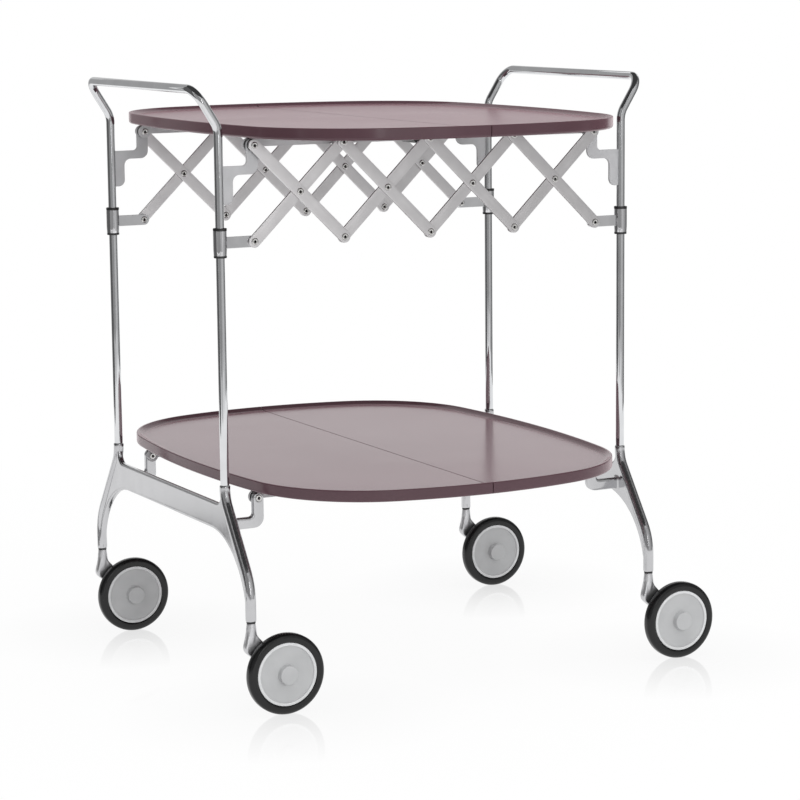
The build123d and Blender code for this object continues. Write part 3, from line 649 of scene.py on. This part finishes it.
def makeBars(kind, cell):
    ends = [Vector((columnX(cell - 1), upperZ)), Vector((columnX(cell), sliderZ))]
    if kind == "b":
        ends = [Vector((columnX(cell - 1), sliderZ)), Vector((columnX(cell), upperZ))]
    way = (ends[1] - ends[0]).normalized()
    turn = math.atan2(way.y, way.x)
    half = barShape["width"] / 2
    outline = arcPoints(ends[1], half, turn - math.pi / 2, turn + math.pi / 2, barShape["endSteps"])
    outline += arcPoints(ends[0], half, turn + math.pi / 2, turn + 3 * math.pi / 2, barShape["endSteps"])
    holes = [ringOf(spot, barShape["hole"]) for spot in (ends[0], (ends[0] + ends[1]) / 2, ends[1])]
    bm = bmesh.new()
    for row in rows.values():
        near = barNear(kind, row)
        addPlate(bm, outline, holes, near, near + layer["thickness"], row, barShape["edge"])
    uvAlong(bm, ends[0], way)
    name = kind + str(cell)
    piece = flatten(fromBmesh("flat_bars_" + name, bm, ["strip"]))
    return attach(piece, "scissor_" + name, "satin_bars", "scissor_bars_" + name)


for kind in "ab":
    for cell in range(1, barShape["cells"] + 1):
        makeBars(kind, cell)

bracketShape = dict(
    armWidth=14 * mm, armTop=22.5 * mm, armHeight=10 * mm, padWidth=11.5 * mm, padHeight=43 * mm,
    outerRound=9.5 * mm, innerRound=5 * mm, padRound=8 * mm, edge=0.4 * mm, headSteps=32,
    postShare=0.6)  # the plate's end lies inside the tube, at this share of its radius


def makeBrackets(sideName, side):
    shape = bracketShape
    pivot = side * pivotX
    top = upperZ - shape["armTop"]
    low, padLow = top - shape["armHeight"], top - shape["padHeight"]
    post = side * (postX - shape["postShare"] * tubeShape["radius"])
    pad = side * (postX - tubeShape["radius"] - shape["padWidth"])
    inner, outer = (pivot - side * way * shape["armWidth"] / 2 for way in (1, -1))
    cap = ringOf((pivot, upperZ), shape["armWidth"] / 2, shape["headSteps"])
    head = [p for p in cap if p[1] > upperZ]
    head.sort(key=lambda p: side * p[0])
    outline = roundedOutline([
        (post, padLow, 0), (pad, padLow, shape["padRound"]), (pad, low, shape["padRound"]),
        (inner, low, shape["outerRound"]), (inner, upperZ, 0)])
    outline += head
    outline += roundedOutline([(outer, upperZ, 0), (outer, top, shape["innerRound"]), (post, top, 0)])
    bm = bmesh.new()
    for row in rows.values():
        addPlate(bm, outline, [ringOf((pivot, upperZ), barShape["hole"])], layer["bracketNear"],
                 layer["bracketNear"] + layer["thickness"], row, shape["edge"])
    piece = flatten(fromBmesh(sideName + "_bracket_plates", bm, ["bracket"]))
    return attach(piece, sideName + "_frame", "grey_brackets", sideName + "_upper_brackets")


for sideName, side in sides.items():
    makeBrackets(sideName, side)
print("bars and brackets")


# Sliding collars with their black bushes

collarShape = dict(
    halfLength=14 * mm, radius=7.8 * mm, lowRadius=7.4 * mm, taper=10 * mm, topRound=0.5 * mm,
    armHeight=13 * mm, armEdge=0.4 * mm, bushOuter=6.06 * mm, bushBore=5.06 * mm, flange=2.6 * mm,
    flangeRound=0.6 * mm, taperSteps=8, tipSteps=32, topSteps=3, flangeSteps=4, turnSteps=64,
    sharpAngle=40, armShare=0.5)  # the arm's end lies inside the sleeve, at this share of its radius


def makeCollars(sideName, side):
    shape = collarShape
    sleeves, bushes = bmesh.new(), bmesh.new()
    pivot = (side * pivotX, sliderZ)
    reach = side * (postX - shape["armShare"] * shape["radius"])
    armTop, growth = shape["armHeight"] / 2, shape["radius"] - shape["lowRadius"]
    tip = [p for p in ringOf(pivot, armTop, shape["tipSteps"]) if side * (p[0] - pivot[0]) < -weld]
    tip.sort(key=lambda p: p[1])
    outline = [(reach, sliderZ - armTop), (pivot[0], sliderZ - armTop), *tip,
               (pivot[0], sliderZ + armTop), (reach, sliderZ + armTop)]
    for row in rows.values():
        post = Matrix.Translation((side * postX, row * tubeShape["postY"], sliderZ))
        low, high, soft = -shape["halfLength"], shape["halfLength"], shape["topRound"]
        profile = [(shape["bushOuter"], low), (shape["lowRadius"], low)]
        for i in range(1, shape["taperSteps"] + 1):
            u = i / shape["taperSteps"]
            swell = math.sin(u * math.pi / 2)
            profile.append((shape["lowRadius"] + growth * swell, low + shape["taper"] * u))
        profile += softCorner(soft, (shape["radius"] - soft, high - soft), 0, 90, shape["topSteps"])
        profile += [(shape["bushOuter"], high), (shape["bushOuter"], low)]
        addLathe(sleeves, profile, post, shape["turnSteps"])
        addPlate(sleeves, outline, [ringOf(pivot, barShape["hole"])], layer["bracketNear"],
                 layer["bracketNear"] + layer["thickness"], row, shape["armEdge"])
        for end, wide in ((low, shape["lowRadius"]), (high, shape["radius"])):
            way = math.copysign(1, end)
            curve, top = shape["flangeRound"], end + way * shape["flange"]
            ring = [(shape["bushBore"], end), (wide, end)]
            rounded = softCorner(curve, (wide - curve, shape["flange"] - curve), 0, 90, shape["flangeSteps"])
            ring += [(r, end + way * h) for r, h in rounded]
            ring += [(shape["bushBore"], top), (shape["bushBore"], end)]
            addLathe(bushes, ring, post, shape["turnSteps"])
    for bm in (sleeves, bushes):
        bmesh.ops.remove_doubles(bm, verts=bm.verts, dist=weld)
        bmesh.ops.recalc_face_normals(bm, faces=bm.faces)
    body = sideName + "_slider"
    attach(flatten(fromBmesh(sideName + "_sliding_collars", sleeves, ["collar"])), body, "cast_collars",
           sideName + "_collars")
    attach(fromBmesh(sideName + "_black_bushes", bushes, ["nylon"], shape["sharpAngle"]), body,
           "black_plastic", sideName + "_collar_bushes")


for sideName, side in sides.items():
    makeCollars(sideName, side)
print("collars")


# Eyelet rivets: a rolled head at each end of a shank, set on points

eyeletShape = dict(
    headRadius=4 * mm, headHeight=1.1 * mm, boreRadius=1.3 * mm, boreDepth=2 * mm, shank=2.5 * mm,
    neck=2.4 * mm, rollSteps=8, headSides=28, shankSides=24, sharpAngle=40,
    brim=0.25)  # share of the head's height below its roll


def eyeletTree():
    tree, given = newTree("eyelets", {
        "Head": "Object", "Shank Radius": "Float", "Shank Sides": "Int", "Neck": "Float",
        "Plate": "Material", "Bore": "Material"})
    facing = addNode(tree, "GeometryNodeInputNamedAttribute", {"Name": "facing"}, data_type="FLOAT_VECTOR")
    length = addNode(tree, "GeometryNodeInputNamedAttribute", {"Name": "shankLength"}, data_type="FLOAT")
    turned = addNode(tree, "FunctionNodeAlignRotationToVector", links={
        "Vector": facing.outputs["Attribute"]}, axis="Z")
    head = addNode(tree, "GeometryNodeObjectInfo", links={"Object": given["Head"]})
    heads = addNode(tree, "GeometryNodeInstanceOnPoints", links={
        "Points": given["Geometry"], "Instance": head.outputs["Geometry"], "Rotation": turned.outputs[0]})
    # a rod of unit length below its point, stretched to the length of each shank
    rod = addNode(tree, "GeometryNodeMeshCylinder", {"Depth": 1.0}, {
        "Vertices": given["Shank Sides"], "Radius": given["Shank Radius"]})
    sunk = addNode(tree, "GeometryNodeTransform", {"Translation": (0, 0, -0.5)}, {
        "Geometry": rod.outputs["Mesh"]})
    size = addNode(tree, "ShaderNodeCombineXYZ", {"X": 1.0, "Y": 1.0}, {"Z": length.outputs["Attribute"]})
    down = addNode(tree, "ShaderNodeVectorMath", links={
        0: facing.outputs["Attribute"], "Scale": given["Neck"]}, operation="SCALE")
    under = addNode(tree, "ShaderNodeVectorMath", {1: (-1, -1, -1)}, {0: down.outputs[0]},
                    operation="MULTIPLY")
    starts = addNode(tree, "GeometryNodeSetPosition", links={
        "Geometry": given["Geometry"], "Offset": under.outputs[0]})
    rods = addNode(tree, "GeometryNodeInstanceOnPoints", links={
        "Points": starts.outputs[0], "Instance": sunk.outputs[0], "Rotation": turned.outputs[0],
        "Scale": size.outputs[0]})
    both = addNode(tree, "GeometryNodeJoinGeometry")
    for part in (rods, heads):
        tree.links.new(part.outputs[0], both.inputs[0])
    whole = addNode(tree, "GeometryNodeRealizeInstances", links={"Geometry": both.outputs[0]})
    plated = addNode(tree, "GeometryNodeSetMaterial", links={
        "Geometry": whole.outputs[0], "Material": given["Plate"]})
    # faces in the bore take the near-black material, painted shade inside the hole
    inside = addNode(tree, "GeometryNodeInputNamedAttribute", {"Name": "inBore"}, data_type="BOOLEAN")
    dark = addNode(tree, "GeometryNodeSetMaterial", links={
        "Geometry": plated.outputs[0], "Selection": inside.outputs["Attribute"], "Material": given["Bore"]})
    addNode(tree, "NodeGroupOutput", links={"Geometry": dark.outputs[0]})
    return tree


def eyeletHead():
    shape = eyeletShape
    bore, deep = shape["boreRadius"], -shape["boreDepth"]
    roll = (shape["headRadius"] - bore) / 2
    middle = bore + roll
    brim, crown = shape["headHeight"] * shape["brim"], shape["headHeight"] * (1 - shape["brim"])
    profile = [(0, deep), (bore, deep), (bore, brim)]
    for i in range(1, shape["rollSteps"] + 1):
        turn = math.pi * (1 - i / shape["rollSteps"])
        profile.append((middle + roll * math.cos(turn), brim + crown * math.sin(turn)))
    profile += [(shape["headRadius"], 0), (shape["shank"], 0), (shape["shank"], -shape["neck"]),
                (0, -shape["neck"])]
    bm = bmesh.new()
    # the bore's floor and wall take the second material, near-black painted shade
    faces = addLathe(bm, profile, Matrix.Identity(4), shape["headSides"], [1, 1] + [0] * (len(profile) - 3))
    mesh = bpy.data.meshes.new("eyeletHead")
    for face in faces:
        face.smooth = True
    bm.to_mesh(mesh)
    bm.free()
    inside = mesh.attributes.new("inBore", "BOOLEAN", "FACE")
    for polygon in mesh.polygons:
        inside.data[polygon.index].value = polygon.material_index == 1
    return bpy.data.objects.new("eyeletHead", mesh)


def makeEyelets(tree, head, name, spots, body, node):
    # each spot is (x, z, row, near, far, which ends have a head)
    places = []
    for x, z, row, near, far, ends in spots:
        half = (far - near) / 2
        for end, at in ((-1, near), (1, far)):
            if end in ends:
                length = half if len(ends) == 2 else 2 * half
                places.append(((x + seamX, row * at, z), (0, row * end, 0), length))
    mesh = bpy.data.meshes.new(name)
    mesh.from_pydata([spot for spot, way, length in places], [], [])
    mesh.attributes.new("facing", "FLOAT_VECTOR", "POINT")
    mesh.attributes.new("shankLength", "FLOAT", "POINT")
    for i, (spot, way, length) in enumerate(places):
        mesh.attributes["facing"].data[i].vector = way
        mesh.attributes["shankLength"].data[i].value = length - eyeletShape["neck"]
    piece = newObject(name, mesh)
    runTree(piece, tree, {
        "Head": head, "Shank Radius": eyeletShape["shank"], "Shank Sides": eyeletShape["shankSides"],
        "Neck": eyeletShape["neck"], "Plate": finishes["rivet"], "Bore": finishes["bore"]})
    piece.data.set_sharp_from_angle(angle=math.radians(eyeletShape["sharpAngle"]))
    return attach(piece, body, "rivet_steel", node)


inner, outer = layer["innerNear"] - layer["play"], layer["outerNear"] + layer["thickness"] + layer["play"]
crossZ = (upperZ + sliderZ) / 2
everyRow = list(rows.values())
scissorSpots = {
    "b1": [(0.5, crossZ), (1, upperZ)], "b2": [(1.5, crossZ), (1, sliderZ)], "a2": [], "b3": [],
    "a3": [(2.5, crossZ), (3, sliderZ)], "a4": [(3.5, crossZ), (3, upperZ)]}
openEnds = {"b2": upperZ, "a2": sliderZ, "a3": upperZ, "b3": sliderZ}  # half rivets of the middle pivots
collarEnds = {"b1": -pivotX, "a4": pivotX}
rivetTree, rivetHead = eyeletTree(), eyeletHead()
for name, columns in scissorSpots.items():
    spots = [(columnX(column), z, row, inner, outer, (-1, 1)) for column, z in columns for row in everyRow]
    for row in everyRow:
        near = barNear(name[0], row)
        far = near + layer["thickness"]
        if name in openEnds:
            spots.append((0, openEnds[name], row, near, far, (1,) if near == layer["outerNear"] else (-1,)))
        if name in collarEnds:
            plateNear = layer["bracketNear"] - layer["play"]
            spots.append((collarEnds[name], sliderZ, row, plateNear, far + layer["play"], (-1, 1)))
    makeEyelets(rivetTree, rivetHead, "eyelets_" + name, spots, "scissor_" + name, "rivets_" + name)
for sideName, side in sides.items():
    spots = []
    for row in everyRow:
        far = barNear("a" if side < 0 else "b", row) + layer["thickness"] + layer["play"]
        near = layer["railNear"] - layer["play"]
        spots += [(side * pivotX, upperZ, row, near, far, (-1, 1)),
                  (side * pivotX, lowerZ, row, near, layer["armFar"], (-1, 1))]
    makeEyelets(rivetTree, rivetHead, sideName + "_pivot_eyelets", spots, sideName + "_frame",
                sideName + "_tray_pins")
print("eyelets")


# CAD nodes that stay as they are, with their finish

keptFinishes = {"pivot_spacers": "nylon", "hinge_leaves": "nylon", "rails": "rail", "hinge_pins": "rivet",
                "castor_pins": "rivet"}
for name, node in nodes.items():
    for ending, finish in keptFinishes.items():
        if name.endswith(ending) and not node.hide_render:
            node.data.materials.clear()
            node.data.materials.append(finishes[finish])
print("kept nodes")


# Studio: pale floor, white surround, soft lamps, and grey cards that only reflections see

studio = dict(
    floorSize=14.0, floorSides=96, floorHex="#FFFFFF", floorRoughness=0.5, floorGlow=0.95,
    shadowReach=(0.5, 1.4), surroundLight=0.7,
    mirrorIor=1.25, mirrorRoughness=0.05, mirrorReach=(0.02, 0.2),  # polish that shows close to the wheels
    # name, spot, target, size, power, seen in reflections
    lamps=[("overhead", (0.2, -0.4, 2.5), (0, 0, 0.4), 2.2, 24.0, False),
           ("front", (-0.3, -3.2, 1.0), (0, 0, 0.3), 1.6, 30.0, True)],
    # azimuth from the front towards +X, distance, width, lower and upper edge, brightness
    cards=[(-113, 2.0, 2.75, 0, 2.6, 0.12), (-162, 2.1, 1.1, 0, 2.6, 0.4), (-46, 2.75, 3.3, 0, 2.6, 0.32),
           (-115, 0.85, 1.0, 0, 0.03, 0.25), (-46, 2.25, 2.7, 0, 0.08, 0.6), (-2, 2.75, 1.1, 0, 2.6, 0.45),
           (-2, 2.25, 0.9, 0, 0.08, 0.8),
           (28, 2.3, 1.2, 0, 2.6, 0.5), (57, 2.1, 1.0, 0, 2.6, 0.3), (90, 2.1, 1.4, 0, 2.6, 0.12),
           (180, 3.0, 6.0, 1.3, 2.6, 0.38), (155, 1.5, 2.6, 0.69, 1.3, 0.62)],
    ceiling=(2.6, 5.0, 0.05))
cameraSetup = dict(location=(-1.49327, -2.94401, 0.81932), azimuth=-27.2146, elevation=8.8852, roll=-0.5542,
                   lens=122.928, sensor=36.0)


def showsWhite(tree):
    # camera, mirror and clear rays see the plain white studio
    path = addNode(tree, "ShaderNodeLightPath").outputs
    seen = path["Is Camera Ray"]
    for other in ("Is Glossy Ray", "Is Transmission Ray"):
        either = addNode(tree, "ShaderNodeMath", links={0: seen, 1: path[other]}, operation="MAXIMUM")
        seen = either.outputs[0]
    return seen


def makeFloor(setup):
    bm = bmesh.new()
    bmesh.ops.create_circle(bm, cap_ends=True, radius=setup["floorSize"] / 2, segments=setup["floorSides"])
    mesh = bpy.data.meshes.new("studioFloor")
    bm.to_mesh(mesh)
    bm.free()
    material, tree, shader = newFinish("paleFloor", {
        "Base Color": toLinear(setup["floorHex"]), "Roughness": setup["floorRoughness"]})
    glow = addNode(tree, "ShaderNodeEmission", {"Color": (1, 1, 1, 1), "Strength": 1.0})
    place = addNode(tree, "ShaderNodeTexCoord").outputs["Object"]
    away = addNode(tree, "ShaderNodeVectorMath", links={0: place}, operation="LENGTH").outputs["Value"]
    start, end = setup["shadowReach"]
    plain = addNode(tree, "ShaderNodeMapRange", {
        "From Min": start, "From Max": end, "To Min": setup["floorGlow"], "To Max": 1.0}, {"Value": away})
    share = addNode(tree, "ShaderNodeMath", links={0: showsWhite(tree), 1: plain.outputs[0]},
                    operation="MULTIPLY")
    matt = addNode(tree, "ShaderNodeMixShader", links={
        0: share.outputs[0], 1: shader.outputs[0], 2: glow.outputs[0]})
    wheels = [jointAt[rowName + "_" + sideName + "_wheel_spin"] for rowName in rows for sideName in sides]
    middle = sum(wheels, Vector()) / len(wheels)
    span = [abs(value) for value in wheels[0] - middle]
    folded = addNode(tree, "ShaderNodeVectorMath", {1: middle}, {0: place}, operation="SUBTRACT")
    corner = addNode(tree, "ShaderNodeVectorMath", links={0: folded.outputs[0]}, operation="ABSOLUTE")
    nearest = addNode(tree, "ShaderNodeVectorMath", {1: (*span[:2], middle.z)}, {0: corner.outputs[0]},
                      operation="DISTANCE").outputs["Value"]
    close, gone = setup["mirrorReach"]
    reach = addNode(tree, "ShaderNodeMapRange", {
        "From Min": close, "From Max": gone, "To Min": 1.0, "To Max": 0.0}, {"Value": nearest})
    glance = addNode(tree, "ShaderNodeFresnel", {"IOR": setup["mirrorIor"]})
    polish = addNode(tree, "ShaderNodeMath", links={0: reach.outputs[0], 1: glance.outputs[0]},
                     operation="MULTIPLY")
    mirror = addNode(tree, "ShaderNodeBsdfGlossy", {"Roughness": setup["mirrorRoughness"]})
    mixed = addNode(tree, "ShaderNodeMixShader", links={
        0: polish.outputs[0], 1: matt.outputs[0], 2: mirror.outputs[0]})
    tree.links.new(mixed.outputs[0], tree.nodes["Material Output"].inputs["Surface"])
    mesh.materials.append(material)
    newObject("studioFloor", mesh)


def makeSurround(setup):
    world = bpy.data.worlds.new("whiteStudio")
    scene.world = world
    world.use_nodes = True
    tree = world.node_tree
    sky = tree.nodes["Background"]
    sky.inputs["Color"].default_value = (1, 1, 1, 1)
    level = addNode(tree, "ShaderNodeMapRange", {"To Min": setup["surroundLight"], "To Max": 1.0},
                    {"Value": showsWhite(tree)})
    tree.links.new(level.outputs[0], sky.inputs["Strength"])


def makeLamps(setup):
    for name, spot, target, size, power, mirrored in setup["lamps"]:
        data = bpy.data.lights.new(name, "AREA")
        data.shape, data.size, data.energy = "DISK", size, power
        lamp = bpy.data.objects.new(name, data)
        lamp.location = spot
        lamp.visible_glossy = mirrored
        lamp.rotation_euler = (Vector(target) - Vector(spot)).to_track_quat("-Z", "Y").to_euler()
        scene.collection.objects.link(lamp)


def addCard(name, corners, level):
    material = newFinish(name, {
        "Base Color": (0, 0, 0, 1), "Specular IOR Level": 0.0, "Emission Color": (1, 1, 1, 1),
        "Emission Strength": level})[0]
    mesh = bpy.data.meshes.new(name)
    mesh.from_pydata(corners, [], [(0, 1, 2, 3)])
    mesh.materials.append(material)
    card = newObject(name, mesh)
    card.visible_camera = card.visible_diffuse = card.visible_shadow = card.visible_transmission = False


def makeCards(setup):
    for index, (azimuth, distance, width, low, high, level) in enumerate(setup["cards"]):
        turn = math.radians(azimuth)
        way = Vector((math.sin(turn), -math.cos(turn), 0))
        across = Vector((way.y, -way.x, 0)) * width / 2
        middle = way * distance
        ends = ((-1, low), (1, low), (1, high), (-1, high))
        corners = [middle + across * u + Vector((0, 0, z)) for u, z in ends]
        addCard("studioCard" + str(index), corners, level)
    height, width, level = setup["ceiling"]
    half = width / 2
    square = ((-1, -1), (1, -1), (1, 1), (-1, 1))
    addCard("studioCeiling", [(half * u, half * w, height) for u, w in square], level)


def makeCamera(setup):
    data = bpy.data.cameras.new("photoCamera")
    data.lens, data.sensor_width = setup["lens"], setup["sensor"]
    camera = bpy.data.objects.new("photoCamera", data)
    az, el = math.radians(setup["azimuth"]), math.radians(setup["elevation"])
    back = Vector((math.sin(az) * math.cos(el), -math.cos(az) * math.cos(el), math.sin(el)))
    turned = back.to_track_quat("Z", "Y").to_matrix() @ Matrix.Rotation(math.radians(setup["roll"]), 3, "Z")
    camera.matrix_world = Matrix.Translation(setup["location"]) @ turned.to_4x4()
    scene.collection.objects.link(camera)
    scene.camera = camera


makeFloor(studio)
makeSurround(studio)
makeLamps(studio)
makeCards(studio)
makeCamera(cameraSetup)
scene.view_settings.view_transform = "Standard"
print("studio")
